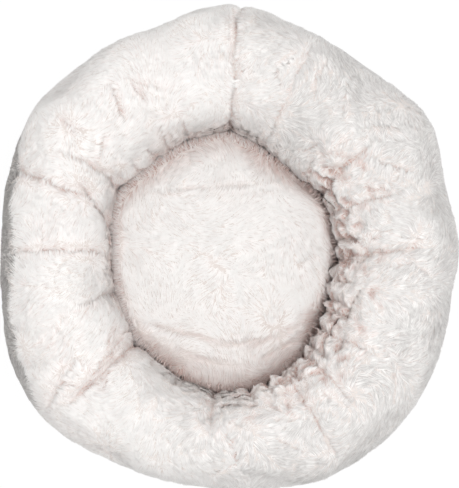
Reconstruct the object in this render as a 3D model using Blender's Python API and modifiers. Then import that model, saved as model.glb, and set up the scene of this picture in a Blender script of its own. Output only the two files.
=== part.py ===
# A round plush pet bed: a stuffed bolster round a stuffed pad, in a cover that unzips below.
# Metres, +Z up, +Y to the rear. Plan angles run counter-clockwise from +X, in degrees.
# The bolster's section is read at stations: 0 on its outer side, 90 on top, 180 in the nest.

import math

import bmesh
import bpy
import numpy as np
from mathutils import Matrix, Vector

# The whole bed, measured to the tips of its pile.
BED_RADIUS = 0.299
BED_HEIGHT = 0.175
NEST_RADIUS = 0.1485
WIDEST_HEIGHT = 0.087

# How far below the floor the two lower curves of the section aim before the floor flattens them.
OUTER_TUCK = 0.0176
INNER_TUCK = 0.0146

# The outline and the nest's edge in plan, from +X round, as shares of the two radii above.
OUTLINE_SHARES = (0.97, 0.95, 1.0, 0.97, 0.96, 0.99, 1.03, 0.99, 0.99, 1.0, 1.01, 0.98,
                  0.97, 0.99, 1.05, 1.07, 1.04, 1.03, 1.03, 1.05, 1.06, 1.04, 1.01, 0.97)
NEST_SHARES = (0.92, 0.9, 0.84, 0.86, 0.96, 0.95, 0.96, 1.04,
               0.99, 1.03, 1.13, 1.18, 1.24, 1.18, 1.04, 0.94)
SECTION_POWER = 0.9

# The uneven plan fades to true circles towards the floor, where the zip runs.
PLAN_STATIONS = (-40, -10, 241, 280)
PLAN_SHARES = (0.0, 1.0, 1.0, 0.0)

# Stations of the section: the fur and the upper lining, then the lining's lower part.
UPPER_STATIONS = (-45, -23, 0, 23, 45, 68, 90, 112, 135, 157, 180, 199, 217)
LOWER_STATIONS = (241, 268, 282)
BASE_SEAM = UPPER_STATIONS[0]
NEST_SEAM = UPPER_STATIONS[-1]
LINER_SEAM_STEP = 0.3

# Layers, from the fur inwards, and from the floor up.
FUR_THICKNESS = 0.009
FUR_LEAST = 0.0015
PAD_FUR_THICKNESS = 0.012
LINER_THICKNESS = 0.001
BASE_THICKNESS = 0.001
LAYER_GAP = 0.0003
SKIN_GAP = 0.0009
EDGE_GAP = 0.0005
PANEL_GAP = 0.0003

# Main folds of the bolster's fur: plan angle and station of the end nearer to the nest's seam,
# plan angle and station of the other end, and the fold's share of the depth.
FOLD_DEPTH = 0.008
FOLD_HALF_WIDTH = 0.009
FOLD_FADE = 16
FOLDS = (
    (90, 205, 87, 5, 0.75),
    (71, 205, 66.5, 52, 0.55),
    (27.5, 205, 34, 96, 1.0),
    (16.7, 205, 14.9, 86, 0.75),
    (-9.5, 205, -3, 80, 1.0),
    (-47, 205, -39, 96, 0.85),
    (-57.8, 205, -53, 80, 0.9),
    (-68.7, 205, -63.5, 55, 0.85),
    (-95.5, 205, -96, 112, 0.6),
    (-91, 112, -85, 40, 0.6),
    (226.8, 205, 227.2, 78, 1.0),
    (222.5, 150, 226.8, 72, 0.8),
    (202.3, 205, 204.6, 112, 0.6),
    (175.4, 205, 160.5, 120, 0.6),
    (163.5, 124, 161.8, 30, 0.75),
    (152.6, 205, 152.2, 92, 0.75),
)

# Lumps of the filling: many long waves, each of its own length and way, added up.
LUMP_HEIGHT = 0.0022
LUMP_COUNT = 24
LUMP_SEED = 3
LUMP_SHORTEST = 0.07
LUMP_LONGEST = 0.15

# Folds and lumps end before the seams, and the lumps keep off the outline and the nest's wall.
FOLD_STATIONS = (-45, -15, 196, 217)
FOLD_SHARES = (0.0, 1.0, 1.0, 0.0)
LUMP_STATIONS = (-45, -20, 20, 50, 120, 150)
LUMP_SHARES = (0.0, 0.35, 0.35, 1.0, 1.0, 0.0)

# The pad: a crown drawn down to the nest's seam. Its crown's edge is a share of the nest's edge.
PAD_HEIGHT = 0.072
PAD_RISE = 0.002
CROWN_SHARES = (0.9, 0.92, 0.82, 0.62, 0.53, 0.57, 0.74, 0.9,
                0.95, 0.95, 0.93, 0.8, 0.69, 0.74, 0.88, 0.92)
CROWN_RING_SHARES = (0.5, 0.85, 1.0)

# Beyond its crown the pad falls faster and faster until it lies against the nest's wall, and how
# far it has fallen there is a share of the deepest fall. Its side follows the wall down, past a
# station halfway. The layers below are drawn in there by a share of their depth.
FALL_RING_SHARES = (0.4, 0.75, 1.0)
FALL_POWER = 2.0
DEEPEST_FALL = 0.018
FALL_SHARES = (0.8, 0.7, 0.6, 0.45, 0.4, 0.22, 0.1, 0.1,
               0.17, 0.22, 0.45, 0.83, 1.0, 1.0, 0.9, 0.85)
PAD_SIDE_STATION = 203
WALL_GAP = 0.0013
SIDE_INSET_SHARE = 0.4

# The base's turned-up rim and the zip that closes the rear of it.
BASE_RIM_HEIGHT = 0.003
SEAM_INSET = 0.006
BAND_WIDTH = 0.0245
ZIP_START = -12
ZIP_END = 192
TAPE_THICKNESS = 0.0006
COIL_RADIUS = 0.00115
COIL_OFFSET = 0.0019
STOP_LENGTH = 0.003
STOP_CLEARANCE = 0.0005

# The slider: a block round both coils, with a post between them and an arch for the pull.
SLIDER_LENGTH = 0.011
SLIDER_WALL = 0.0012
SLIDER_LIP = 0.001
CHANNEL_CLEARANCE = 0.00045
LIP_CLEARANCE = 0.00055
TAPE_CLEARANCE = 0.0005
POST_HALF_WIDTH = 0.0004
POST_LENGTH = 0.003
SLIDER_EDGE = 0.0004
ARCH_WALL = 0.0008
ARCH_BAR = 0.0012

# The pull: an eye on the arch's bar, a neck and a flat tab.
PULL_LENGTH = 0.03
PULL_WIDTH = 0.007
PULL_THICKNESS = 0.0015
PULL_EDGE = 0.0005
NECK_LENGTH = 0.0044
NECK_THICKNESS = 0.0012
EYE_WIDTH = 0.0024
EYE_BORE = 0.0011
EYE_WALL = 0.0007
EYE_CLEARANCE = 0.0003

# Small sewn pieces.
ELASTIC_RADIUS = 0.0015
LABEL_LENGTH = 0.04
LABEL_WIDTH = 0.02
LABEL_THICKNESS = 0.0003
LABEL_ANGLE = 262

OVERRUN = 0.0002

# Counts of columns round the bed and of sides.
FUR_COLUMNS = 96
LINER_COLUMNS = 48
BASE_COLUMNS = 90
ZIP_COLUMNS = 52
LABEL_COLUMNS = 5
CORD_SIDES = 6
EYE_SIDES = 20
FULL_TURN = 360

MATERIALS = {
    "plush": ("EFEBE8", 0.95, 0.0),
    "base_cloth": ("8E8983", 0.85, 0.0),
    "lining": ("E6E3DE", 0.9, 0.0),
    "fibre_fill": ("F2F1EE", 1.0, 0.0),
    "zip_tape": ("D9D4CE", 0.85, 0.0),
    "zip_coil": ("CFC9C1", 0.5, 0.0),
    "zip_metal": ("B4B3B0", 0.35, 1.0),
    "elastic": ("DEDAD4", 0.8, 0.0),
    "label": ("F4F3F0", 0.6, 0.0),
}


# Scene and materials

def clear_scene():
    for item in list(bpy.data.objects):
        bpy.data.objects.remove(item, do_unlink=True)


def linear(channel):
    return channel / 12.92 if channel <= 0.04045 else ((channel + 0.055) / 1.055) ** 2.4


def material(slot):
    if slot in bpy.data.materials:
        return bpy.data.materials[slot]
    code, roughness, metallic = MATERIALS[slot]
    colour = [linear(int(code[k:k + 2], 16) / 255) for k in (0, 2, 4)]
    made = bpy.data.materials.new(slot)
    made.use_nodes = True
    shader = made.node_tree.nodes["Principled BSDF"]
    shader.inputs["Base Color"].default_value = (*colour, 1)
    shader.inputs["Roughness"].default_value = roughness
    shader.inputs["Metallic"].default_value = metallic
    return made


def finish(piece, name, slot):
    """Name a piece, give it its material and keep it with the rest of the bed."""
    piece.name = name
    piece.data.name = name
    piece.data.materials.clear()
    piece.data.materials.append(material(slot))
    piece.data.shade_smooth()
    piece.data.set_sharp_from_angle(angle=math.radians(50))
    for collection in list(piece.users_collection):
        collection.objects.unlink(piece)
    bed_collection.objects.link(piece)
    return piece


# The bolster's section and plan

def read_shares(shares, degrees):
    """Read a closed smooth curve through evenly spaced shares."""
    place = degrees / FULL_TURN * len(shares)
    first = math.floor(place)
    t = place - first
    a, b, c, d = (shares[(first + step) % len(shares)] for step in (-1, 0, 1, 2))
    return b + t / 2 * (c - a + t * (2 * a - 5 * b + 4 * c - d + t * (3 * (b - c) + d - a)))


def plan(degrees, station):
    """The outer and the nest's radius at a plan angle, as even as the station asks."""
    uneven = float(np.interp(station, PLAN_STATIONS, PLAN_SHARES))
    outer = BED_RADIUS * (1 + uneven * (read_shares(OUTLINE_SHARES, degrees) - 1))
    nest = NEST_RADIUS * (1 + uneven * (read_shares(NEST_SHARES, degrees) - 1))
    return outer, nest


def polar(radius, height, degrees):
    angle = math.radians(degrees)
    return Vector((radius * math.cos(angle), radius * math.sin(angle), height))


def section(degrees, station, inset):
    """A point of the bolster's section, that far inside the fur's surface, as radius and height."""
    outer, nest = plan(degrees, station)
    run = math.cos(math.radians(station))
    rise = math.sin(math.radians(station))
    if rise >= 0:
        reach = BED_HEIGHT - WIDEST_HEIGHT
    elif run >= 0:
        reach = WIDEST_HEIGHT + OUTER_TUCK
    else:
        reach = WIDEST_HEIGHT + INNER_TUCK
    across = (outer - nest) / 2 - inset
    radius = (outer + nest) / 2 + across * math.copysign(abs(run) ** SECTION_POWER, run)
    height = WIDEST_HEIGHT + (reach - inset) * math.copysign(abs(rise) ** SECTION_POWER, rise)
    return radius, height


def ease(low, high, value):
    """A smooth step from 0 at one value to 1 at another."""
    t = max(0, min(1, (value - low) / (high - low)))
    return t * t * (3 - 2 * t)


def fold_depth(degrees, station):
    """How far the fur is drawn in by the fold that is nearest."""
    radius = section(degrees, station, 0)[0]
    depth = 0
    for near_angle, near_station, far_angle, far_station, share in FOLDS:
        along = max(0, min(1, (near_station - station) / (near_station - far_station)))
        middle = near_angle + (far_angle - near_angle) * along
        turn = (degrees - middle + FULL_TURN / 2) % FULL_TURN - FULL_TURN / 2
        away = math.radians(turn) * radius
        ends = ease(far_station - FOLD_FADE, far_station + FOLD_FADE, station)
        ends *= ease(near_station + FOLD_FADE, near_station - FOLD_FADE, station)
        depth = max(depth, share * FOLD_DEPTH * ends * math.exp(-(away / FOLD_HALF_WIDTH) ** 2))
    return depth


def make_waves():
    """Random waves: the way of each, as long as its radians to a metre, and where it starts."""
    draws = np.random.default_rng(LUMP_SEED)
    ways = draws.normal(size=(LUMP_COUNT, 3))
    ways /= np.linalg.norm(ways, axis=1, keepdims=True)
    lengths = draws.uniform(LUMP_SHORTEST, LUMP_LONGEST, LUMP_COUNT)
    return ways * (math.tau / lengths)[:, None], draws.uniform(0, math.tau, LUMP_COUNT)


LUMP_WAYS, LUMP_STARTS = make_waves()
LUMP_SCALE = math.sqrt(2 / LUMP_COUNT)


def lump(degrees, station):
    """How far the filling swells the fur out, or lets it in where that is negative."""
    point = np.array(polar(*section(degrees, station, 0), degrees))
    return LUMP_HEIGHT * float(np.sin(LUMP_WAYS @ point + LUMP_STARTS).sum()) * LUMP_SCALE


def fur_sink(degrees, station):
    """How far the fur lies inside the even section, less where lumps swell it out."""
    fold = fold_depth(degrees, station) * float(np.interp(station, FOLD_STATIONS, FOLD_SHARES))
    swell = lump(degrees, station) * float(np.interp(station, LUMP_STATIONS, LUMP_SHARES))
    return min(fold - swell, FUR_THICKNESS - FUR_LEAST)


# Swept and turned pieces

def close_up(piece, shape):
    """Turn every face outwards, and split the faces alike in layers that lie on each other."""
    bmesh.ops.recalc_face_normals(shape, faces=shape.faces)
    bmesh.ops.triangulate(shape, faces=shape.faces, quad_method="SHORT_EDGE")
    shape.to_mesh(piece.data)
    shape.free()


def sweep(name, slot, profile, angles, closed):
    """Carry a closed profile round the bed: a torus whose columns take the profile's points."""
    loops = [profile(degrees) for degrees in angles]
    points = len(loops[0])
    columns = len(angles) if closed else len(angles) + 1
    bpy.ops.mesh.primitive_torus_add(major_segments=columns, minor_segments=points)
    piece = bpy.context.object
    shape = bmesh.new()
    shape.from_mesh(piece.data)
    spare = []
    for vertex in shape.verts:
        column, point = divmod(vertex.index, points)
        if column == len(angles):
            spare.append(vertex)
        else:
            vertex.co = polar(*loops[column][point], angles[column])
    bmesh.ops.delete(shape, geom=spare, context="VERTS")
    open_edges = [edge for edge in shape.edges if edge.is_boundary]
    bmesh.ops.holes_fill(shape, edges=open_edges, sides=0)
    close_up(piece, shape)
    return finish(piece, name, slot)


def turned(name, slot, profile, columns):
    """A round piece closed at its middle, above and below: a sphere whose rings take the profile."""
    angles = even_angles(columns)
    loops = [profile(degrees) for degrees in angles]
    rings = len(loops[0]) - 1
    bpy.ops.mesh.primitive_uv_sphere_add(segments=columns, ring_count=rings)
    piece = bpy.context.object
    shape = bmesh.new()
    shape.from_mesh(piece.data)
    for vertex in shape.verts:
        around = math.degrees(math.atan2(vertex.co.y, vertex.co.x))
        column = round(around / FULL_TURN * columns) % columns
        down = math.acos(max(-1, min(1, vertex.co.z / vertex.co.length)))
        ring = round(down / math.pi * rings)
        vertex.co = polar(*loops[column][ring], angles[column])
    close_up(piece, shape)
    return finish(piece, name, slot)


def even_angles(columns):
    return [FULL_TURN * k / columns for k in range(columns)]


def arc_angles(first, last, columns):
    return [first + (last - first) * k / (columns - 1) for k in range(columns)]


def arc_of(length, radius):
    return math.degrees(length / radius)


# Bolster

def fur_profile(degrees):
    outer = [section(degrees, s, fur_sink(degrees, s)) for s in UPPER_STATIONS]
    inner = [section(degrees, s, FUR_THICKNESS) for s in UPPER_STATIONS]
    return outer + inner[::-1]


def make_bolster_fur():
    """Four fur panels, sewn at the right, the rear, the left and the front."""
    names = ("bolster_fur_rear_right", "bolster_fur_rear_left",
             "bolster_fur_front_left", "bolster_fur_front_right")
    quarter = FULL_TURN / len(names)
    columns = FUR_COLUMNS // len(names) + 1
    gap = arc_of(PANEL_GAP / 2, NEST_RADIUS)
    for k, name in enumerate(names):
        angles = arc_angles(k * quarter, (k + 1) * quarter, columns)
        angles[0] += gap
        angles[-1] -= gap
        sweep(name, "plush", fur_profile, angles, closed=False)


LINER_INSET = FUR_THICKNESS + SKIN_GAP
FILL_INSET = LINER_INSET + LINER_THICKNESS + LAYER_GAP
FILL_RISE = LAYER_GAP + LINER_THICKNESS + LAYER_GAP


def over_base(degrees, station, inset, rise):
    """A point of the section that stays above the base cloth, and clear of the zip's slider."""
    radius, height = section(degrees, station, inset)
    start = band_point(0, -SLIDER_HALF_HEIGHT - rise)
    slope = start.y + (radius - start.x) * math.tan(BAND_SLOPE)
    return radius, max(height, slope, BASE_THICKNESS + rise)


def shell_profile(degrees, stations):
    """Both faces of the bolster's lining along some stations."""
    inset = LINER_INSET + LINER_THICKNESS
    rise = LAYER_GAP + LINER_THICKNESS
    outer = [over_base(degrees, s, LINER_INSET, LAYER_GAP) for s in stations]
    inner = [over_base(degrees, s, inset, rise) for s in stations]
    return outer + inner[::-1]


def make_bolster_inside():
    ends = (NEST_SEAM + LINER_SEAM_STEP, BASE_SEAM + FULL_TURN - LINER_SEAM_STEP)
    lower = (ends[0], *LOWER_STATIONS, ends[1])
    around = even_angles(LINER_COLUMNS)
    sweep("bolster_liner_upper", "lining",
          lambda degrees: shell_profile(degrees, UPPER_STATIONS), around, closed=True)
    sweep("bolster_liner_lower", "lining",
          lambda degrees: shell_profile(degrees, lower), around, closed=True)
    stations = UPPER_STATIONS + LOWER_STATIONS
    sweep("bolster_fill", "fibre_fill",
          lambda degrees: [over_base(degrees, s, FILL_INSET, FILL_RISE) for s in stations],
          around, closed=True)


def elastic_profile(degrees):
    """A round cord lying against the raw edge of the fur, under the nest's seam."""
    edge = Vector(section(degrees, NEST_SEAM, FUR_THICKNESS / 2))
    before = Vector(section(degrees, NEST_SEAM - 1, FUR_THICKNESS / 2))
    middle = edge + (edge - before).normalized() * (ELASTIC_RADIUS + LAYER_GAP)
    sides = [math.tau * k / CORD_SIDES for k in range(CORD_SIDES)]
    return [(middle.x + ELASTIC_RADIUS * math.cos(a), middle.y + ELASTIC_RADIUS * math.sin(a))
            for a in sides]


def make_elastic():
    sweep("gather_elastic", "elastic", elastic_profile, even_angles(FUR_COLUMNS), closed=True)


# Pad

def pad_edge(degrees):
    """Radius and height of the pad's rim, just inside the nest's seam."""
    radius, height = section(degrees, NEST_SEAM, 0)
    return radius - LAYER_GAP, height - LAYER_GAP


def pad_surface(degrees, below, side_inset=0):
    """Rings of the pad's crown from its middle to its rim, that far below the fur's surface."""
    rim, rim_height = pad_edge(degrees)
    fall = DEEPEST_FALL * read_shares(FALL_SHARES, degrees)
    depth = (WIDEST_HEIGHT - PAD_HEIGHT + fall) / (WIDEST_HEIGHT + INNER_TUCK)
    station = 180 + math.degrees(math.asin(depth ** (1 / SECTION_POWER)))
    wall = section(degrees, station, -WALL_GAP)[0]
    crown = plan(degrees, NEST_SEAM)[1] * read_shares(CROWN_SHARES, degrees)
    points = [(0, PAD_HEIGHT + PAD_RISE - below)]
    for share in CROWN_RING_SHARES:
        points.append((crown * share, PAD_HEIGHT + PAD_RISE * (1 - share ** 2) - below))
    for share in FALL_RING_SHARES:
        radius = crown + (wall - crown) * share
        height = PAD_HEIGHT - fall * share ** FALL_POWER
        points.append((radius - below * SIDE_INSET_SHARE * share, height - below))
    side, side_height = section(degrees, PAD_SIDE_STATION, -WALL_GAP)
    points.append((side - below * SIDE_INSET_SHARE, side_height - below))
    points.append((rim - side_inset, rim_height - below))
    return points


PAD_LINER_DEPTH = PAD_FUR_THICKNESS + LAYER_GAP
PAD_FILL_DEPTH = PAD_LINER_DEPTH + LINER_THICKNESS + LAYER_GAP
PAD_LINER_FLOOR = BASE_THICKNESS + LAYER_GAP
PAD_FILL_FLOOR = PAD_LINER_FLOOR + LINER_THICKNESS + LAYER_GAP


def pad_fur_profile(degrees):
    return pad_surface(degrees, 0) + pad_surface(degrees, PAD_FUR_THICKNESS)[::-1]


def pad_liner_profile(degrees):
    lower = pad_surface(degrees, PAD_LINER_DEPTH + LINER_THICKNESS)
    return pad_surface(degrees, PAD_LINER_DEPTH) + lower[::-1]


def pad_tray_profile(degrees):
    """The pad lining's lower part: a flat disc with a wall that meets the upper part."""
    rim, height = pad_edge(degrees)
    top = height - PAD_FILL_DEPTH
    inside = rim - LINER_THICKNESS
    bottom = PAD_LINER_FLOOR
    lining_top = PAD_LINER_FLOOR + LINER_THICKNESS
    return [(0, lining_top), (inside, lining_top), (inside, top), (rim, top),
            (rim, bottom), (0, bottom)]


def pad_fill_profile(degrees):
    side_inset = LINER_THICKNESS + LAYER_GAP
    rim = pad_edge(degrees)[0] - side_inset
    top = pad_surface(degrees, PAD_FILL_DEPTH, side_inset)
    return top + [(rim, PAD_FILL_FLOOR), (0, PAD_FILL_FLOOR)]


def make_pad():
    turned("pad_fur", "plush", pad_fur_profile, LINER_COLUMNS)
    turned("pad_liner_top", "lining", pad_liner_profile, LINER_COLUMNS)
    turned("pad_liner_bottom", "lining", pad_tray_profile, LINER_COLUMNS)
    turned("pad_fill", "fibre_fill", pad_fill_profile, LINER_COLUMNS)


# The sloping band between the flat base and the fur's lower edge

SEAM_POINT = Vector(section(0, BASE_SEAM, SEAM_INSET))
BAND_SLOPE = math.asin((SEAM_POINT.y - BASE_RIM_HEIGHT) / BAND_WIDTH)
BAND_ALONG = Vector((math.cos(BAND_SLOPE), math.sin(BAND_SLOPE)))
BAND_OUT = Vector((math.sin(BAND_SLOPE), -math.cos(BAND_SLOPE)))
BAND_MIDDLE = SEAM_POINT - BAND_ALONG * BAND_WIDTH / 2
TAPE_EDGE = COIL_OFFSET + COIL_RADIUS + LAYER_GAP


def band_point(along, out):
    """A point of the band's section: along its slope from its middle, and out of its face."""
    return BAND_MIDDLE + BAND_ALONG * along + BAND_OUT * out


def band_foot(out, height):
    """The radius where a line parallel to the band comes down to a height."""
    start = band_point(0, out)
    return start.x - (start.y - height) / math.tan(BAND_SLOPE)


def band_strip(first, last, near, far):
    """The four corners of a strip that lies along the band."""
    return [band_point(first, near), band_point(last, near),
            band_point(last, far), band_point(first, far)]


def base_profile(degrees):
    """Flat cloth with its rim turned up: short over the zip, up to the fur elsewhere."""
    half = BASE_THICKNESS / 2
    over_zip = (degrees - ZIP_START) % FULL_TURN <= ZIP_END - ZIP_START
    rim = -BAND_WIDTH / 2 - LAYER_GAP if over_zip else BAND_WIDTH / 2 - EDGE_GAP
    return [(0, BASE_THICKNESS), (band_foot(-half, BASE_THICKNESS), BASE_THICKNESS),
            band_point(rim, -half), band_point(rim, half),
            (band_foot(half, 0), 0), (0, 0)]


def make_base():
    turned("base_fabric", "base_cloth", base_profile, BASE_COLUMNS)
    far = BASE_THICKNESS / 2 + LAYER_GAP
    half = arc_of(LABEL_LENGTH / 2, BAND_MIDDLE.x)
    corners = band_strip(-LABEL_WIDTH / 2, LABEL_WIDTH / 2, far, far + LABEL_THICKNESS)
    sweep("care_label", "label", lambda degrees: corners,
          arc_angles(LABEL_ANGLE - half, LABEL_ANGLE + half, LABEL_COLUMNS), closed=False)


# Zip

def circle(middle, radius):
    sides = [math.tau * k / CORD_SIDES for k in range(CORD_SIDES)]
    return [middle + Vector((math.cos(a), math.sin(a))) * radius for a in sides]


def make_tapes_and_coils():
    half = TAPE_THICKNESS / 2
    tape_arc = arc_angles(ZIP_START, ZIP_END, ZIP_COLUMNS)
    end = arc_of(STOP_LENGTH + LAYER_GAP, BAND_MIDDLE.x)
    coil_arc = arc_angles(ZIP_START + end, ZIP_END - end, ZIP_COLUMNS)
    inner_strip = band_strip(-BAND_WIDTH / 2, -TAPE_EDGE, -half, half)
    outer_strip = band_strip(TAPE_EDGE, BAND_WIDTH / 2 - EDGE_GAP, -half, half)
    for side, way, strip in (("inner", -1, inner_strip), ("outer", 1, outer_strip)):
        ring = circle(band_point(way * COIL_OFFSET, 0), COIL_RADIUS)
        sweep(f"zip_tape_{side}", "zip_tape", lambda degrees: strip, tape_arc, closed=False)
        sweep(f"zip_coil_{side}", "zip_coil", lambda degrees: ring, coil_arc, closed=False)


def zip_frame(degrees):
    """Axes on the zip's middle line: X up the slope, Y along the zip, Z into the bed."""
    across = polar(BAND_ALONG.x, BAND_ALONG.y, degrees)
    along = polar(1, 0, degrees + FULL_TURN / 4)
    frame = Matrix((across, along, across.cross(along))).transposed().to_4x4()
    frame.translation = polar(BAND_MIDDLE.x, BAND_MIDDLE.y, degrees)
    return frame


def box(low, high):
    """A box between two corners."""
    bpy.ops.mesh.primitive_cube_add(size=1)
    piece = bpy.context.object
    low, high = Vector(low), Vector(high)
    for vertex in piece.data.vertices:
        vertex.co = (low + high) / 2 + vertex.co * (high - low)
    return piece


def rod(radius, length, height):
    """A round bar along X, at that height."""
    bpy.ops.mesh.primitive_cylinder_add(vertices=EYE_SIDES, radius=radius, depth=length)
    piece = bpy.context.object
    piece.data.transform(Matrix.Rotation(math.pi / 2, 4, "Y"))
    piece.data.transform(Matrix.Translation((0, 0, height)))
    return piece


def bevel(piece, width):
    rounding = piece.modifiers.new("edges", "BEVEL")
    rounding.width = width
    rounding.segments = 2
    settle(piece)


def settle(piece):
    """Replace a piece's mesh with what its modifiers make of it."""
    seen = piece.evaluated_get(bpy.context.evaluated_depsgraph_get())
    made = bpy.data.meshes.new_from_object(seen)
    piece.modifiers.clear()
    piece.data = made


def combine(piece, operation, tools):
    for tool in tools:
        step = piece.modifiers.new(operation.lower(), "BOOLEAN")
        step.operation = operation
        step.object = tool
    settle(piece)
    for tool in tools:
        bpy.data.objects.remove(tool, do_unlink=True)


def make_stops():
    half = STOP_LENGTH / 2
    inside = COIL_OFFSET - COIL_RADIUS
    outside = COIL_OFFSET + COIL_RADIUS
    step = arc_of(half, BAND_MIDDLE.x)
    places = (("zip_top_stop_inner", ZIP_END - step, -outside, -inside),
              ("zip_top_stop_outer", ZIP_END - step, inside, outside),
              ("zip_bottom_stop", ZIP_START + step, -outside, outside))
    for name, degrees, first, last in places:
        piece = box((first, -half, -COIL_RADIUS), (last, half, COIL_RADIUS))
        piece.matrix_world = zip_frame(degrees)
        finish(piece, name, "zip_metal")


CHANNEL_HALF_HEIGHT = COIL_RADIUS + CHANNEL_CLEARANCE
SLIDER_HALF_HEIGHT = CHANNEL_HALF_HEIGHT + SLIDER_WALL
CHANNEL_HALF_WIDTH = COIL_OFFSET + COIL_RADIUS + LIP_CLEARANCE
SLIDER_HALF_WIDTH = CHANNEL_HALF_WIDTH + SLIDER_LIP
BAR_HEIGHT = -(SLIDER_HALF_HEIGHT + EYE_CLEARANCE + EYE_BORE + EYE_WALL)
SLIDER_REST = ZIP_END - arc_of(STOP_LENGTH + STOP_CLEARANCE + SLIDER_LENGTH / 2, BAND_MIDDLE.x)


def make_slider():
    half = SLIDER_LENGTH / 2
    past = half + OVERRUN
    slot = TAPE_THICKNESS / 2 + TAPE_CLEARANCE
    piece = box((-SLIDER_HALF_WIDTH, -half, -SLIDER_HALF_HEIGHT),
                (SLIDER_HALF_WIDTH, half, SLIDER_HALF_HEIGHT))
    bevel(piece, SLIDER_EDGE)
    wide = SLIDER_HALF_WIDTH + OVERRUN
    post_back = half - POST_LENGTH
    cuts = [box((-CHANNEL_HALF_WIDTH, -past, -CHANNEL_HALF_HEIGHT),
                (CHANNEL_HALF_WIDTH, post_back, CHANNEL_HALF_HEIGHT)),
            box((POST_HALF_WIDTH, -past, -slot), (wide, past, slot)),
            box((-wide, -past, -slot), (-POST_HALF_WIDTH, past, slot)),
            box((POST_HALF_WIDTH, -past, -CHANNEL_HALF_HEIGHT),
                (CHANNEL_HALF_WIDTH, past, CHANNEL_HALF_HEIGHT)),
            box((-CHANNEL_HALF_WIDTH, -past, -CHANNEL_HALF_HEIGHT),
                (-POST_HALF_WIDTH, past, CHANNEL_HALF_HEIGHT))]
    combine(piece, "DIFFERENCE", cuts)
    combine(piece, "UNION", [make_arch()])
    piece.matrix_world = zip_frame(SLIDER_REST)
    bpy.ops.object.empty_add(type="PLAIN_AXES")
    axis = bpy.context.object
    axis.name = "zip_circle_axis"
    piece.parent = axis
    return finish(piece, "zip_slider", "zip_metal")


def make_arch():
    """The loop on the slider's outer face that carries the pull."""
    inside = EYE_WIDTH / 2 + EYE_CLEARANCE
    thick = ARCH_BAR / 2
    top = BAR_HEIGHT + thick
    arch = box((-inside - ARCH_WALL, -thick, BAR_HEIGHT - thick),
               (inside + ARCH_WALL, thick, -SLIDER_HALF_HEIGHT + OVERRUN))
    window = box((-inside, -thick - OVERRUN, top),
                 (inside, thick + OVERRUN, -SLIDER_HALF_HEIGHT + 2 * OVERRUN))
    combine(arch, "DIFFERENCE", [window])
    return arch


def make_pull():
    """The pull, with its origin on the arch's bar, lying back along the closed zip."""
    neck_half = NECK_THICKNESS / 2
    neck_side = EYE_WIDTH / 2 - OVERRUN
    tab_half = PULL_THICKNESS / 2
    eye_radius = EYE_BORE + EYE_WALL
    tab = box((-PULL_WIDTH / 2, -PULL_LENGTH, -tab_half),
              (PULL_WIDTH / 2, -NECK_LENGTH, tab_half))
    bevel(tab, PULL_EDGE)
    neck = box((-neck_side, -NECK_LENGTH - PULL_EDGE - OVERRUN, -neck_half),
               (neck_side, 0, neck_half))
    combine(tab, "UNION", [neck, rod(eye_radius, EYE_WIDTH, 0)])
    combine(tab, "DIFFERENCE", [rod(EYE_BORE, EYE_WIDTH + 2 * OVERRUN, 0)])
    tab.matrix_world = zip_frame(SLIDER_REST) @ Matrix.Translation((0, 0, BAR_HEIGHT))
    return finish(tab, "zip_pull", "zip_metal")


clear_scene()
bed_collection = bpy.data.collections.new("round_pet_bed")
bpy.context.scene.collection.children.link(bed_collection)
make_bolster_fur()
make_bolster_inside()
make_elastic()
make_pad()
make_base()
make_tapes_and_coils()
make_stops()
make_slider()
make_pull()
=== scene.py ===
# Round faux-fur pet bed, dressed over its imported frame. Metres, +Z up, +Y to the rear.
# Plan angles run counter-clockwise from +X in degrees. A station is a place round the bolster's
# section, in degrees: 0 on its outer side, 90 on top, 180 in the nest.

import math

import bpy
import numpy as np
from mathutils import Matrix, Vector
from mathutils.kdtree import KDTree


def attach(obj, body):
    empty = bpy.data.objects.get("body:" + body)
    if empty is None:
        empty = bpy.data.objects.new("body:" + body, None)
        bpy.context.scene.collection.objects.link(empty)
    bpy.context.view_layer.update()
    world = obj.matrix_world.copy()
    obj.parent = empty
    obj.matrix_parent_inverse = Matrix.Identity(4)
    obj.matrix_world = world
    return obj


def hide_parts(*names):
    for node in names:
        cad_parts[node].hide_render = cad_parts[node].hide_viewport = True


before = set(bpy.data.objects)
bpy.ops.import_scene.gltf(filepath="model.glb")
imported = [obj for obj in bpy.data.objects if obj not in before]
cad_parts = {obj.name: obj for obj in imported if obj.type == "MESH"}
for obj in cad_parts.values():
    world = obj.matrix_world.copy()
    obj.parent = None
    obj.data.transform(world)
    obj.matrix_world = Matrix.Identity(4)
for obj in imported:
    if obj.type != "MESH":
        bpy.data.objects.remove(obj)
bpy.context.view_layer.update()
print("frame loaded")

mm = 0.001


# Materials

def linearColour(code):
    channels = [int(code[k:k + 2], 16) / 255 for k in (0, 2, 4)]
    return (*[c / 12.92 if c <= 0.04045 else ((c + 0.055) / 1.055) ** 2.4 for c in channels], 1)


def addNode(tree, kind, settings={}, links={}):
    node = tree.nodes.new("ShaderNode" + kind)
    for name, value in settings.items():
        if name == "stops":
            ramp = node.color_ramp.elements
            while len(ramp) < len(value):
                ramp.new(0.5)
            for stop, (place, code) in zip(ramp, value):
                stop.position = place
                stop.color = linearColour(code)
        elif isinstance(name, int) or name in node.inputs:
            node.inputs[name].default_value = value
        else:
            setattr(node, name, value)
    for name, socket in links.items():
        tree.links.new(socket, node.inputs[name])
    return node


def newMaterial(name, settings):
    material = bpy.data.materials.new(name)
    material.use_nodes = True
    tree = material.node_tree
    shader = tree.nodes["Principled BSDF"]
    for socket, value in settings.items():
        shader.inputs[socket].default_value = value
    return material, tree, shader


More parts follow.
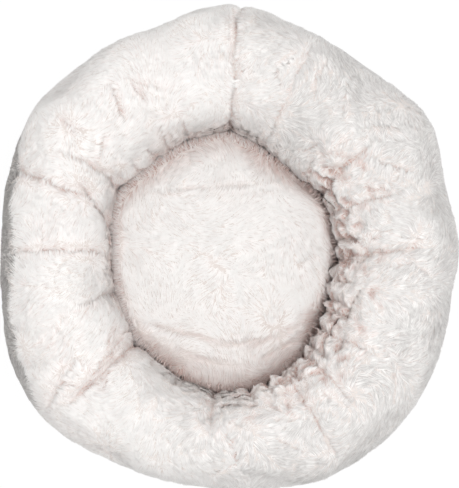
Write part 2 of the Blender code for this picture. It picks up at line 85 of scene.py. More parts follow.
# Noise in patches of this width in millimetres.
def addNoise(tree, patchMm, settings):
    coords = addNode(tree, "TexCoord")
    return addNode(tree, "TexNoise", {"Scale": 1 / (patchMm * mm), **settings},
                   {"Vector": coords.outputs["Object"]})


# Faux fur, acrylic pile with frosted tips. Each lock has its own place on the map: across it the
# tone, from warm to fair to grey, and along it the way from root to tip. The eye gets soft warm
# white fur with pinkish roots in its partings. The dark warm end is also painted shade in the
# creases, the hollows and the crevice round the pad. The grey end is painted shade on the bolster's
# left and right sides; it also greys the pile low on the outer side and gives a few grey strands
# at random.
def makePileMaterial():
    material, tree, shader = newMaterial("acrylicPileFauxFur", {
        "Roughness": 0.8, "Sheen Weight": 0.15, "Sheen Roughness": 0.5, "IOR": 1.49,
        "Specular IOR Level": 0.15})
    place = addNode(tree, "UVMap", {"uv_map": "OFBake"})
    parts = addNode(tree, "SeparateXYZ", links={0: place.outputs["UV"]})
    # Root to tip: warm, whose dark end is painted shade as well as pinkish roots; fair; and grey,
    # mostly painted shade.
    toneRamps = [addNode(tree, "ValToRGB", {"stops": stops}, {0: parts.outputs["Y"]}) for stops in (
        ((0.0, "A07A70"), (0.35, "C6A297"), (0.7, "E0C7BF"), (1.0, "EDDAD4")),
        ((0.0, "F1E9E6"), (0.3, "F8F5F3"), (0.6, "FBF9F7"), (1.0, "FCFBF9")),
        ((0.0, "55514F"), (0.35, "7F7A77"), (0.7, "A5A19E"), (1.0, "BBB7B4")))]
    toFair = addNode(tree, "MapRange", {"From Min": 0.0, "From Max": 0.5},
                     {0: parts.outputs["X"]})
    toGrey = addNode(tree, "MapRange", {"From Min": 0.5, "From Max": 1.0},
                     {0: parts.outputs["X"]})
    warmFair = addNode(tree, "Mix", {"data_type": "RGBA"},
                       {0: toFair.outputs[0], 6: toneRamps[0].outputs[0], 7: toneRamps[1].outputs[0]})
    colour = addNode(tree, "Mix", {"data_type": "RGBA"},
                     {0: toGrey.outputs[0], 6: warmFair.outputs[2], 7: toneRamps[2].outputs[0]})
    tree.links.new(colour.outputs[2], shader.inputs["Base Color"])
    return material


# Knitted backing of the fur, with the shorn underpile on it: warm, dull and slightly blotchy. The
# underpile is drawn as coarse as it needs to show.
def makeBackingMaterial():
    material, tree, shader = newMaterial("knittedFurBacking", {
        "Roughness": 0.95, "Sheen Weight": 0.2})
    blotch = addNoise(tree, 35.7, {"Detail": 5})
    colour = addNode(tree, "ValToRGB", {"stops": (
        (0.3, "DAD1CC"), (0.5, "E0D8D3"), (0.7, "E5DEDA"))}, {0: blotch.outputs[0]})
    under = addNoise(tree, 1.43, {"Detail": 2, "Roughness": 0.7})
    relief = addNode(tree, "Bump", {"Strength": 0.5, "Distance": 0.6 * mm},
                     {"Height": under.outputs[0]})
    tree.links.new(colour.outputs[0], shader.inputs["Base Color"])
    tree.links.new(relief.outputs[0], shader.inputs["Normal"])
    return material


# Plain-woven cloth: threads over and under each other, with a few darker patches. The eye gets a
# fine square grain. The threads are wider than real ones, so that they show.
def makeWovenMaterial(name, threadMm, degrees, roughness, sheen, colours):
    material, tree, shader = newMaterial(name, {"Roughness": roughness, "Sheen Weight": sheen})
    coords = addNode(tree, "TexCoord")
    turn = addNode(tree, "Mapping", {"Rotation": (0, 0, math.radians(degrees))},
                   {"Vector": coords.outputs["Object"]})
    # A wave texture has a band every tau / 20 / scale.
    threads = {"Scale": math.tau / 20 / (threadMm * mm), "Distortion": 0.4, "Detail Scale": 2}
    warp, weft = (addNode(tree, "TexWave", {"bands_direction": way, **threads},
                          {"Vector": turn.outputs[0]}) for way in ("X", "Y"))
    weave = addNode(tree, "Math", {"operation": "MULTIPLY"},
                    {0: warp.outputs["Fac"], 1: weft.outputs["Fac"]})
    patch = addNoise(tree, 25, {"Detail": 4})
    mixed = addNode(tree, "Math", {"operation": "MULTIPLY_ADD", 1: 0.55},
                    {0: patch.outputs[0], 2: weave.outputs[0]})
    stops = tuple(zip((0.2, 0.6, 1.0), colours))
    colour = addNode(tree, "ValToRGB", {"stops": stops}, {0: mixed.outputs[0]})
    relief = addNode(tree, "Bump", {"Strength": 0.6, "Distance": 0.2 * threadMm * mm},
                     {"Height": weave.outputs[0]})
    tree.links.new(colour.outputs[0], shader.inputs["Base Color"])
    tree.links.new(relief.outputs[0], shader.inputs["Normal"])
    return material


# A colour in soft patches, and where asked for a relief and a dullness that follow them.
def makeMottledMaterial(name, settings):
    material, tree, shader = newMaterial(name, settings["shader"])
    noise = addNoise(tree, settings["patchMm"], settings["noise"])
    colour = addNode(tree, "ValToRGB", {"stops": settings["stops"]}, {0: noise.outputs[0]})
    tree.links.new(colour.outputs[0], shader.inputs["Base Color"])
    if "dull" in settings:
        dull = addNode(tree, "MapRange", settings["dull"], {0: noise.outputs[0]})
        tree.links.new(dull.outputs[0], shader.inputs["Roughness"])
    if "relief" in settings:
        relief = addNode(tree, "Bump", settings["relief"], {"Height": noise.outputs[0]})
        tree.links.new(relief.outputs[0], shader.inputs["Normal"])
    return material


pile = makePileMaterial()
backing = makeBackingMaterial()
# Lining, ribbon and elastic look pale, the zip's tape beige and the base cloth grey brown. Only the
# ribbon shines a little.
lining, baseCloth, tapeCloth, satinRibbon, elasticCord = (makeWovenMaterial(*row) for row in (
    ("plainWovenLining", 0.8, 0, 0.9, 0.1, ("CFCBC4", "E2DFD9", "EEEBE6")),
    ("wovenPolyesterBaseCloth", 1.1, 45, 0.85, 0.1, ("77726C", "8F8A84", "A39E97")),
    ("wovenZipTape", 0.9, 45, 0.85, 0.1, ("BDB7AF", "D4CEC7", "E2DDD7")),
    ("satinRibbon", 0.5, 0, 0.45, 0.3, ("DEDCD8", "EEECE9", "F5F4F2")),
    ("braidedElasticCord", 0.7, 45, 0.8, 0.1, ("C9C4BC", "DEDAD4", "EAE7E2"))))
# Loose polyester fibre: the eye gets a white, cloudy mass.
fibre = makeMottledMaterial("polyesterFibreFill", {
    "shader": {"Roughness": 1.0}, "patchMm": 11.1, "noise": {"Detail": 8, "Roughness": 0.75},
    "stops": ((0.3, "DCDAD6"), (0.65, "F4F3F1")),
    "relief": {"Strength": 0.8, "Distance": 3 * mm}})
# Moulded nylon coil: smooth and a little glossy, slightly uneven in colour.
nylon = makeMottledMaterial("mouldedNylonCoil", {
    "shader": {"Roughness": 0.38, "IOR": 1.53}, "patchMm": 3.33, "noise": {"Detail": 3},
    "stops": ((0.35, "C9C2BA"), (0.65, "D9D3CC"))})
# Die-cast zinc with satin nickel plating: soft highlights, faint tumbling marks, duller hollows.
# The marks are coarser than real ones, so that they show.
nickel = makeMottledMaterial("satinNickelPlatedZinc", {
    "shader": {"Metallic": 1.0}, "patchMm": 0.833, "noise": {"Detail": 6, "Roughness": 0.7},
    "stops": ((0.35, "A3A19D"), (0.65, "BDBBB7")), "dull": {"To Min": 0.26, "To Max": 0.42},
    "relief": {"Strength": 0.15, "Distance": 0.05 * mm}})
# Moulded rubber: matt and dark, with a fine bloom.
rubber = makeMottledMaterial("mouldedGripRubber", {
    "shader": {"Roughness": 0.75}, "patchMm": 1.43, "noise": {"Detail": 3},
    "stops": ((0.35, "4A4643"), (0.65, "5C5754"))})
print("materials made")


# The bolster's section and plan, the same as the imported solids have

bedShape = {
    "radius": 0.299, "height": 0.175, "nestRadius": 0.1485, "widestHeight": 0.087,
    "outerTuck": 0.0176, "innerTuck": 0.0146, "power": 0.9,
    "outlineShares": (0.97, 0.95, 1.0, 0.97, 0.96, 0.99, 1.03, 0.99, 0.99, 1.0, 1.01, 0.98,
                      0.97, 0.99, 1.05, 1.07, 1.04, 1.03, 1.03, 1.05, 1.06, 1.04, 1.01, 0.97),
    "nestShares": (0.92, 0.9, 0.84, 0.86, 0.96, 0.95, 0.96, 1.04,
                   0.99, 1.03, 1.13, 1.18, 1.24, 1.18, 1.04, 0.94),
    "evenStations": (-40, -10, 241, 280), "unevenShares": (0, 1, 1, 0),
    "baseSeam": -45, "nestSeam": 217,
}


# Smooth closed curve through shares that stand evenly round the plan.
def readShares(shares, degrees):
    table = np.array(shares)
    place = np.asarray(degrees) / 360 * len(table)
    first = np.floor(place).astype(int)
    t = place - first
    a, b, c, d = (table[(first + step) % len(table)] for step in (-1, 0, 1, 2))
    return b + t / 2 * (c - a + t * (2 * a - 5 * b + 4 * c - d + t * (3 * (b - c) + d - a)))


def planRadii(degrees, station):
    s = bedShape
    uneven = np.interp(station, s["evenStations"], s["unevenShares"])
    outer = s["radius"] * (1 + uneven * (readShares(s["outlineShares"], degrees) - 1))
    nest = s["nestRadius"] * (1 + uneven * (readShares(s["nestShares"], degrees) - 1))
    return outer, nest


# Radius and height of the bolster's section at a station, so far under its surface.
def bolsterSection(degrees, station, inset):
    s = bedShape
    outer, nest = planRadii(degrees, station)
    run = np.cos(np.radians(station))
    rise = np.sin(np.radians(station))
    reach = np.where(rise >= 0, s["height"] - s["widestHeight"],
                     s["widestHeight"] + np.where(run >= 0, s["outerTuck"], s["innerTuck"]))
    across = (outer - nest) / 2 - inset
    radius = (outer + nest) / 2 + across * np.sign(run) * np.abs(run) ** s["power"]
    height = s["widestHeight"] + (reach - inset) * np.sign(rise) * np.abs(rise) ** s["power"]
    return radius, height


def fromPolar(radius, height, degrees):
    angle = np.radians(degrees)
    return np.stack((radius * np.cos(angle), radius * np.sin(angle), height), -1)


def smoothStep(low, high, value):
    t = np.clip((value - low) / (high - low), 0, 1)
    return t * t * (3 - 2 * t)


# How far apart two ways in plan are, 0 to 180 degrees.
def angleFrom(degrees, middle):
    return np.abs((degrees - middle + 180) % 360 - 180)


# Station at a share of the way from the base's seam over the top to the nest's seam.
def stationAt(up):
    return bedShape["baseSeam"] + (bedShape["nestSeam"] - bedShape["baseSeam"]) * up


# Waves that run every way and never repeat: their number, shortest and longest in millimetres.
def makeWaves(seed, count, shortest, longest):
    draws = np.random.default_rng(seed)
    way = draws.normal(size=(count, 3))
    way /= np.linalg.norm(way, axis=1, keepdims=True)
    length = draws.uniform(shortest, longest, count) * mm
    return way * (math.tau / length)[:, None], draws.uniform(0, math.tau, count)


def readWaves(waves, points):
    ways, starts = waves
    return np.sin(points @ ways.T + starts).sum(1) * math.sqrt(2 / len(starts))


def slopeOfWaves(waves, points):
    ways, starts = waves
    slope = np.cos(points @ ways.T + starts) @ ways
    return slope * math.sqrt(2 / len(starts)) / np.linalg.norm(ways, axis=1).mean()


# Folds of the fur: angle and station at the nest's end, angle and station at the far end, depth
# and half width in millimetres, and how far the fur parts there.
foldSettings = {
    "folds": (
        (90, 205, 87, 5, 6.0, 3.5, 0.8),
        (71, 205, 66.5, 52, 4.5, 4.5, 0.5),
        (27.5, 205, 34, 96, 8.5, 5.0, 0.9),
        (16.7, 205, 14.9, 86, 6.0, 4.0, 0.7),
        (-9.5, 205, -3, 80, 9.5, 5.0, 1.0),
        (-47, 205, -39, 96, 7.0, 4.5, 0.8),
        (-57.8, 205, -53, 80, 7.5, 4.5, 0.8),
        (-68.7, 205, -63.5, 55, 7.0, 4.5, 0.8),
        (-95.5, 205, -96, 112, 5.0, 4.5, 0.5),
        (-91, 112, -85, 40, 5.0, 10.0, 0.7),
        (226.8, 205, 227.2, 78, 8.0, 4.5, 0.9),
        (222.5, 150, 226.8, 72, 6.5, 4.0, 0.7),
        (219.7, 90, 223.4, 50, 5.0, 4.5, 0.6),
        (202.3, 205, 204.6, 112, 5.0, 4.5, 0.6),
        (186.4, 205, 183.4, 32, 3.0, 2.2, 0.75),
        (175.4, 205, 160.5, 120, 5.5, 4.5, 0.7),
        (163.5, 124, 161.8, 30, 6.0, 5.0, 0.8),
        (152.6, 205, 152.2, 92, 6.0, 5.0, 0.6),
        (128, 205, 131, 150, 4.0, 4.5, 0.5),
        (112, 205, 110, 140, 4.0, 5.0, 0.4),
        (250, 205, 249, 140, 4.0, 5.0, 0.4),
    ),
    "endFade": 16, "wobbleMm": 1.0, "wobbleStations": 6, "spareTurn": 11, "partMm": 6,
    "wideShare": 0.4, "widerBy": 3, "farMm": 99.0,
}

# Gathers where the nest's edge is drawn in: valleys with full rounds of fur between them.
gatherSettings = {
    "valleys": (2.2, -9.5, -18.4, -27.9, -35.3, -42.6, -51.4, -62.5, -75, -82.5),
    "innerStation": 208, "depthMm": 9.0, "halfWidthMm": 3.0, "parting": 0.6, "lean": 2,
    "reachStation": 137, "reachSpread": (-6, 8), "seed": 11, "fade": 12,
    "smallStart": 38, "smallEnd": 288, "smallStep": 6.2, "stepSpread": (0.6, 1.4),
    "smallDepthMm": 2.4, "depthSpread": (0.5, 1.3), "smallHalfWidthMm": 2.0, "smallParting": 0.35,
    "smallLean": 3, "smallReachStation": 165, "smallReachSpread": 22,
    # Swell between the valleys: its middle, how far off it ends, and its stations.
    "swellMm": 3.5, "swellMiddle": -27, "swellTurns": (65, 45),
    "swellTop": (128, 150), "swellSeam": (205, 185),
}

# Short creases, most of them on the crumpled right side. Each zone has a number of creases, its
# first and last angle and its first and last station.
creaseSettings = {
    "zones": ((34, -75, 20, 60, 165), (14, 20, 80, 55, 160), (8, 80, 170, 60, 160),
              (8, 170, 285, 50, 150)),
    "halfTurn": 3.4, "turnSpread": 1.3, "halfStation": 11, "stationSpread": (0.4, 1.4),
    "depthMm": 2.6, "halfWidthMm": 2.2, "parting": 0.55, "sizes": (0.5, 1.2), "fade": 5,
    "seed": 21,
}

# Curls: where the fur is crumpled, as ranges of angles off the middle and of stations.
crumpleSettings = {
    "middle": -25, "rightTurns": (80, 55), "outerShare": 0.4, "outerStations": (86, 116),
    "innerStations": (128, 155), "leftShare": 0.25, "leftTurns": (80, 95),
    "leftStations": (165, 180), "seamStations": (217, 200),
}

# Lumps of the filling, less so at some stations, and none at the two seams.
lumpSettings = {
    "largeMm": 2.2, "largeWaves": (3, 24, 70, 150), "smallMm": 0.45,
    "smallWaves": (4, 30, 22, 45), "curlMm": 2.1, "curlWaves": (12, 36, 13, 26),
    "stations": (-45, -20, 20, 50, 120, 165), "shares": (0, 0.35, 0.35, 1, 1, 0.3),
    "baseStations": (-45, -15), "seamStations": (217, 196),
}
largeLumps = makeWaves(*lumpSettings["largeWaves"])
smallLumps = makeWaves(*lumpSettings["smallWaves"])
curls = makeWaves(*lumpSettings["curlWaves"])


def listGathers():
    s = gatherSettings
    draws = np.random.default_rng(s["seed"])
    rows = [(angle, s["innerStation"], angle + draws.uniform(-s["lean"], s["lean"]),
             s["reachStation"] + draws.uniform(*s["reachSpread"]), s["depthMm"],
             s["halfWidthMm"], s["parting"], s["fade"]) for angle in s["valleys"]]
    angle = s["smallStart"]
    while angle < s["smallEnd"]:
        rows.append((angle, s["innerStation"],
                     angle + draws.uniform(-s["smallLean"], s["smallLean"]),
                     s["smallReachStation"] - draws.uniform(0, s["smallReachSpread"]),
                     s["smallDepthMm"] * draws.uniform(*s["depthSpread"]),
                     s["smallHalfWidthMm"], s["smallParting"], s["fade"]))
        angle += s["smallStep"] * draws.uniform(*s["stepSpread"])
    return rows


def listCreases():
    s = creaseSettings
    draws = np.random.default_rng(s["seed"])
    rows = []
    for count, firstAngle, lastAngle, firstStation, lastStation in s["zones"]:
        for _ in range(count):
            angle = draws.uniform(firstAngle, lastAngle)
            station = draws.uniform(firstStation, lastStation)
            turn = s["halfTurn"] * draws.uniform(-s["turnSpread"], s["turnSpread"])
            half = s["halfStation"] * draws.uniform(*s["stationSpread"])
            size = draws.uniform(*s["sizes"])
            rows.append((angle - turn, station + half, angle + turn, station - half,
                         s["depthMm"] * size, s["halfWidthMm"] * size, s["parting"] * size,
                         s["fade"]))
    return rows


furrows = [(*row, foldSettings["endFade"]) for row in foldSettings["folds"]] \
    + listGathers() + listCreases()


# Where the fur is crumpled into small curls, 0 to 1: along the nest's edge, most on the right.
def readCrumple(degrees, station):
    s = crumpleSettings
    turn = angleFrom(degrees, s["middle"])
    outer = s["outerShare"] * smoothStep(*s["outerStations"], station)
    inner = (1 - s["outerShare"]) * smoothStep(*s["innerStations"], station)
    right = smoothStep(*s["rightTurns"], turn) * (outer + inner)
    left = smoothStep(*s["leftTurns"], turn) * smoothStep(*s["leftStations"], station)
    return (right + s["leftShare"] * left) * smoothStep(*s["seamStations"], station)


# How deep the fur is drawn in at a place of the bolster, how far its pile parts there, and how
# far away the line is where it parts, in millimetres, less than zero on its clockwise side. Last
# come the hollows between its curls, 0 to 1.
def readFurrows(degrees, station):
    s = foldSettings
    radius, height = bolsterSection(degrees, station, 0)
    point = fromPolar(radius, height, degrees)
    sink = np.zeros(len(point))
    parting = np.zeros(len(point))
    away = np.full(len(point), s["farMm"])
    for innerAngle, innerStation, outerAngle, outerStation, depth, half, part, fade in furrows:
        span = s["spareTurn"] + abs(outerAngle - innerAngle) / 2
        turn = (degrees - (innerAngle + outerAngle) / 2 + 180) % 360 - 180
        near = np.nonzero((np.abs(turn) < span) & (station > outerStation - fade)
                          & (station < innerStation + fade))[0]
        place = station[near]
        along = (innerStation - place) / (innerStation - outerStation)
        middle = (outerAngle - innerAngle) * (np.clip(along, 0, 1) - 0.5)
        gap = (turn[near] - middle) * math.pi / 180 * radius[near] / mm \
            + s["wobbleMm"] * np.sin(place / s["wobbleStations"] + innerAngle)
        ends = smoothStep(outerStation - fade, outerStation + fade, place) \
            * smoothStep(innerStation + fade, innerStation - fade, place)
        shape = (1 - s["wideShare"]) * np.exp(-(gap / half) ** 2) \
            + s["wideShare"] * np.exp(-(gap / half / s["widerBy"]) ** 2)
        sink[near] = np.maximum(sink[near], ends * depth * shape)
        parts = ends * part * np.exp(-(gap / s["partMm"]) ** 2)
        stronger = parts > parting[near]
        away[near] = np.where(stronger, gap, away[near])
        parting[near] = np.maximum(parts, parting[near])
    s = gatherSettings
    swell = s["swellMm"] * smoothStep(*s["swellTurns"], angleFrom(degrees, s["swellMiddle"])) \
        * smoothStep(*s["swellTop"], station) * smoothStep(*s["swellSeam"], station)
    s = lumpSettings
    lumps = np.interp(station, s["stations"], s["shares"]) * s["largeMm"] \
        * readWaves(largeLumps, point) + s["smallMm"] * readWaves(smallLumps, point)
    curl = readCrumple(degrees, station) * readWaves(curls, point)
    lumps = lumps + s["curlMm"] * curl
    calm = smoothStep(*s["baseStations"], station) * smoothStep(*s["seamStations"], station)
    return (sink - swell - lumps) * calm * mm, parting, away, np.clip(-curl, 0, 1)


def bolsterPoint(degrees, station, inset):
    sink = readFurrows(degrees, station)[0]
    radius, height = bolsterSection(degrees, station, inset + sink)
    return fromPolar(radius, height, degrees)


# Stuffed layers

def pickNothing():
    bpy.ops.object.select_all(action="DESELECT")


def applyModifiers(piece):
    pickNothing()
    piece.select_set(True)
    bpy.context.view_layer.objects.active = piece
    for modifier in list(piece.modifiers):
        bpy.ops.object.modifier_apply(modifier=modifier.name)


# A grid laid over a surface, and joined to itself where its edges meet.
def addSheet(name, columns, rows, placeOf, closeRound, material):
    pickNothing()
    bpy.ops.mesh.primitive_grid_add(x_subdivisions=columns, y_subdivisions=rows, size=2)
    piece = bpy.context.object
    piece.name = name
    flat = np.empty(len(piece.data.vertices) * 3)
    piece.data.vertices.foreach_get("co", flat)
    share = (flat.reshape(-1, 3)[:, :2] + 1) / 2
    piece.data.vertices.foreach_set("co", placeOf(share[:, 0], share[:, 1]).ravel())
    piece.data.update()
    if closeRound:
        bpy.ops.object.mode_set(mode="EDIT")
        bpy.ops.mesh.select_all(action="SELECT")
        bpy.ops.mesh.remove_doubles(threshold=0.02 * mm)
        bpy.ops.object.mode_set(mode="OBJECT")
    piece.data.materials.append(material)
    piece.data.shade_smooth()
    return piece


def thicken(piece, thickness):
    wall = piece.modifiers.new("wall", "SOLIDIFY")
    wall.thickness = thickness
    wall.offset = -1
    applyModifiers(piece)


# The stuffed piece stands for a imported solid.
def dress(piece, node):
    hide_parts(node)
    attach(piece, "bed")


skinSettings = {
    "insetMm": 3.0, "thicknessMm": 1.5, "columns": 92, "rows": 88, "gapMm": 0.3, "fill": 0.8,
    "panels": (("bolsterFurRearRight", "bolster_fur_rear_right", 0),
               ("bolsterFurRearLeft", "bolster_fur_rear_left", 90),
               ("bolsterFurFrontLeft", "bolster_fur_front_left", 180),
               ("bolsterFurFrontRight", "bolster_fur_front_right", 270)),
}


def makeBolsterSkins():
    s = skinSettings
    gap = math.degrees(s["gapMm"] * mm / 2 / bedShape["nestRadius"])
    for name, node, start in s["panels"]:
        def placeOf(across, up):
            degrees = start + gap + (90 - 2 * gap) * across
            return bolsterPoint(degrees, stationAt(up), s["insetMm"] * mm)
        skin = addSheet(name, s["columns"], s["rows"], placeOf, False, backing)
        thicken(skin, s["thicknessMm"] * mm)
        dress(skin, node)


# The filling's floor is flat out to a radius and then rises, so that it clears the base cloth.
innerSettings = {
    "liningInsetMm": 9.9, "liningMm": 1.0, "fillInsetMm": 11.2, "columns": 120, "liningRows": 50,
    "fillRows": 60, "fillFloorMm": 2.6, "floorRadius": 0.246, "floorSlope": 1.2, "fill": 0.8,
}


def makeBolsterInside():
    s = innerSettings

    def placeLining(across, up):
        return bolsterPoint(360 * across, stationAt(up), s["liningInsetMm"] * mm)

    bag = addSheet("bolsterLining", s["columns"], s["liningRows"], placeLining, True, lining)
    thicken(bag, s["liningMm"] * mm)
    dress(bag, "bolster_liner_upper")

    def placeFill(across, up):
        station = bedShape["baseSeam"] + 360 * up
        point = bolsterPoint(360 * across, station, s["fillInsetMm"] * mm)
        beyond = np.hypot(point[:, 0], point[:, 1]) - s["floorRadius"]
        floor = s["fillFloorMm"] * mm + s["floorSlope"] * np.maximum(beyond, 0)
        point[:, 2] = np.maximum(point[:, 2], floor)
        return point

    filling = addSheet("bolsterFilling", s["columns"], s["fillRows"], placeFill, True, fibre)
    dress(filling, "bolster_fill")


# Pad: a crown whose sides drop to the nest's seam

padSettings = {
    "height": 0.072, "rise": 0.002, "edgeGapMm": 0.3, "insetMm": 3.0, "thicknessMm": 2.0,
    "wallGapMm": 0.2, "fallPower": 2.0, "fallEnd": 1.5, "deepestFallMm": 18,
    "fallShares": (0.8, 0.7, 0.6, 0.45, 0.4, 0.22, 0.1, 0.1,
                   0.17, 0.22, 0.45, 0.83, 1.0, 1.0, 0.9, 0.85),
    "crownShares": (0.9, 0.92, 0.82, 0.62, 0.53, 0.57, 0.74, 0.9,
                    0.95, 0.95, 0.93, 0.8, 0.69, 0.74, 0.88, 0.92),
    "lumpMm": 0.9, "smallLumpShare": 0.5, "calmShares": (1.0, 0.8),
    "columns": 150, "rows": 56, "fill": 0.7,
    # Soft creases: two ends in millimetres, depth, half width, how far the fur parts.
    "creases": ((-95, -112, -10, -120, 2.2, 3, 0.5), (-30, -124, 62, -116, 2.2, 3, 0.5),
                (20, -130, 84, -104, 2.0, 3, 0.5), (-110, -100, -60, -118, 2.0, 3, 0.4),
                (-98, 72, -30, 71, 1.6, 2.5, 0.35), (-30, 71, 60, 74, 1.2, 2.5, 0.25),
                (40, -142, 88, -122, 1.8, 3, 0.4), (-60, -140, 10, -148, 1.8, 3, 0.4)),
    "creaseEnds": (0.05, 0.95), "partWiderBy": 1.3,
}


def readPadCreases(x, y):
    s = padSettings
    sink = np.zeros(len(x))
    parting = np.zeros(len(x))
    for ax, ay, bx, by, depth, half, part in s["creases"]:
        dx, dy = bx - ax, by - ay
        along = np.clip(((x / mm - ax) * dx + (y / mm - ay) * dy) / (dx * dx + dy * dy), 0, 1)
        away = np.hypot(x / mm - ax - along * dx, y / mm - ay - along * dy)
        ends = np.sin(math.pi * np.clip(along, *s["creaseEnds"])) ** 0.5
        sink = np.maximum(sink, depth * ends * np.exp(-(away / half) ** 2))
        parting = np.maximum(parting,
                             part * ends * np.exp(-(away / half / s["partWiderBy"]) ** 2))
    return sink * mm, parting


# Height of the bolster's wall over the pad's edge: the pad lies against it and no higher.
def wallOver(degrees, radius):
    outer, nest = planRadii(degrees, np.full(len(radius), 180.0))
    reach = np.clip(((outer + nest) / 2 - radius) / ((outer - nest) / 2), 0, 1)
    run = reach ** (1 / bedShape["power"])
    drop = (1 - run * run) ** (bedShape["power"] / 2)
    return bedShape["widestHeight"] - (bedShape["widestHeight"] + bedShape["innerTuck"]) * drop


def padPoint(degrees, share, inset):
    s = padSettings
    seam = np.full(len(share), float(bedShape["nestSeam"]))
    rim, rimHeight = bolsterSection(degrees, seam, 0)
    rim = rim - s["edgeGapMm"] * mm
    rimHeight = rimHeight - s["edgeGapMm"] * mm
    nest = planRadii(degrees, seam)[1]
    crown = nest * readShares(s["crownShares"], degrees)
    radius = share * rim
    top = s["height"] + s["rise"] * (1 - np.clip(radius / crown, 0, 1) ** 2)
    reach = np.clip((radius - crown) / (nest - crown), 0, s["fallEnd"])
    fall = s["deepestFallMm"] * mm * readShares(s["fallShares"], degrees) * reach ** s["fallPower"]
    height = np.minimum(top - fall, wallOver(degrees, radius + s["wallGapMm"] * mm))
    height = np.maximum(height, rimHeight)
    point = fromPolar(radius, height - inset, degrees)
    lumps = s["lumpMm"] * mm * (readWaves(largeLumps, point)
                                + s["smallLumpShare"] * readWaves(smallLumps, point))
    sink = readPadCreases(point[:, 0], point[:, 1])[0]
    point[:, 2] += (lumps - sink) * smoothStep(*s["calmShares"], share)
    return point


def makePadSkin():
    s = padSettings
    skin = addSheet("padFur", s["columns"], s["rows"],
                    lambda across, up: padPoint(360 * across, 1 - up, s["insetMm"] * mm),
                    True, backing)
    thicken(skin, s["thicknessMm"] * mm)
    dress(skin, "pad_fur")


makeBolsterSkins()
makeBolsterInside()
makePadSkin()
print("stuffed layers made")


# Fur: one tapered lock is modelled once, and its copies are laid over the skins. They follow a
# swirling nap, meet in tufts, and roll into the folds, where they are shorter.

lockSettings = {
    "widthMm": 1.15, "thick": 0.18, "lengthMm": 13.0, "rootMm": 0.2,
    "tipMm": (1.2, 2.0), "tipSpreadMm": (0.2, 0.85), "tuftTurn": (4, 24), "tuftPull": (0.03, 0.35),
    "tuftLocks": 26, "ownTurn": 5, "shortestMm": 3.5, "plainNormal": 0.9,
    "wildShare": 0.2, "wildMm": 6.0, "wildTipMm": 0.8,
    "tuftSizes": (0.85, 1.1), "tuftWeight": 0.65, "ownSizes": (0.75, 1.2), "pullLengths": 2,
    "lowestTipMm": 0.5, "liftedMm": 8, "widths": (0.7, 1.3), "readEvery": 5,
    "underAhead": 0.6, "underShare": -0.1, "strandDepths": (0.3, 1),
    "warmShare": 0.1, "warmTone": 0.32, "greyShare": 0.08, "greyTone": 0.16,
}

furSettings = {
    "bolsterLocks": 360000, "padLocks": 55000, "seed": 5,
    "swirl": 0.8, "drift": 0.5, "combOut": 0.45, "combDown": 1.7, "closing": 2.2,
    "lowestMm": 11.0, "curlMm": 7.0,
    # Painted shade on the left outer side, in the pile's grey: plan angles, and the station up to
    # which it reaches there.
    "leftShadeAngles": (140, 150, 158, 168, 176, 190, 206, 218, 230),
    "leftShadeStations": (0, 33, 42, 48, 52, 50, 47, 42, 0),
    "leftShadeTones": (0, 0.6, 1.05, 1.2, 1.2, 1.1, 0.9, 0.7, 0),
    "leftShadeWander": 3, "leftShadeSpread": 2, "leftShadeFade": (2, -5), "leftShadeDepths": (0.45, 1.3),
    # Painted shade on the right side: its pile is greyed there.
    "rightShadeTone": 0.42, "rightMiddle": -12, "rightTurns": (125, 60), "ruffle": (0.2, 0.6, 0.22),
    "smoothShare": 0.45, "smoothStations": (45, 90), "combStations": (20, 55),
    "outwardFrom": 60, "inwardFrom": 130, "combSlope": 0.6,
    "closeMm": 1.5, "partedFrom": 0.12, "longerBy": 1.1, "curledFrom": 0.3, "lineMm": 2.2,
    # Painted shade on the inner wall towards the nest's crevice: a warmer tone there. Low on the
    # outer side the pile is made greyer.
    "nestShadeWarm": 0.12, "nestStations": (150, 185), "lowGrey": 0.1, "lowStations": (25, -10),
    "zones": (("Side", -90, 40), ("Top", 40, 118), ("Nest", 118, 270)),
    # Warm margin of the pad, ruffled fur with pinkish roots and painted shade towards the crevice:
    # plan angles, and how wide it is there in millimetres.
    "marginAngles": (0, 40, 75, 100, 130, 152, 170, 200, 225, 250, 285, 310, 335, 360),
    "marginWidths": (22, 28, 40, 46, 34, 26, 12, 12, 20, 44, 52, 42, 26, 22), "marginShadeTone": 0.38,
    # Painted shade at the pad's edge by the crevice: a warmer tone, and more and darker strands.
    "edgeMm": 16, "edgeShadeTone": 0.35, "edgeShare": 0.3, "edgeTurns": (180, 150),
    "padComb": (0.25, -0.35, 0.0), "padRuffle": (0.12, 0.15), "padLongestMm": 13,
    "padPartedShare": 0.4, "marginRuffle": 0.7, "marginLiftMm": 1.5,
    # Locks at the pad's edge that lean over its crevice, as a share of those there.
    "brimMm": 7, "brimReachMm": 12, "brimReaches": (0.6, 1), "brimSpread": 0.25,
    "brimRises": (0.2, 1.2), "brimNormal": 0.3,
    "brimAngles": (0, 60, 85, 165, 225, 245, 360),
    "brimShares": (0.15, 0.3, 1, 1, 0.9, 0.15, 0.15),
}

swirlWaves = makeWaves(7, 36, 100, 200)
driftWaves = makeWaves(8, 36, 60, 130)
toneWaves = makeWaves(9, 30, 45, 120)
ruffleWaves = makeWaves(10, 24, 60, 140)


def placePiece(name, data):
    piece = bpy.data.objects.new(name, data)
    bpy.context.scene.collection.objects.link(piece)
    return piece


# Points and faces of the shape that was just added, which is taken away.
def takeShape():
    shape = bpy.context.object
    bpy.ops.object.transform_apply(location=True)
    points = np.array([v.co[:] for v in shape.data.vertices])
    faces = [list(face.vertices) for face in shape.data.polygons]
    bpy.data.objects.remove(shape, do_unlink=True)
    return points, faces


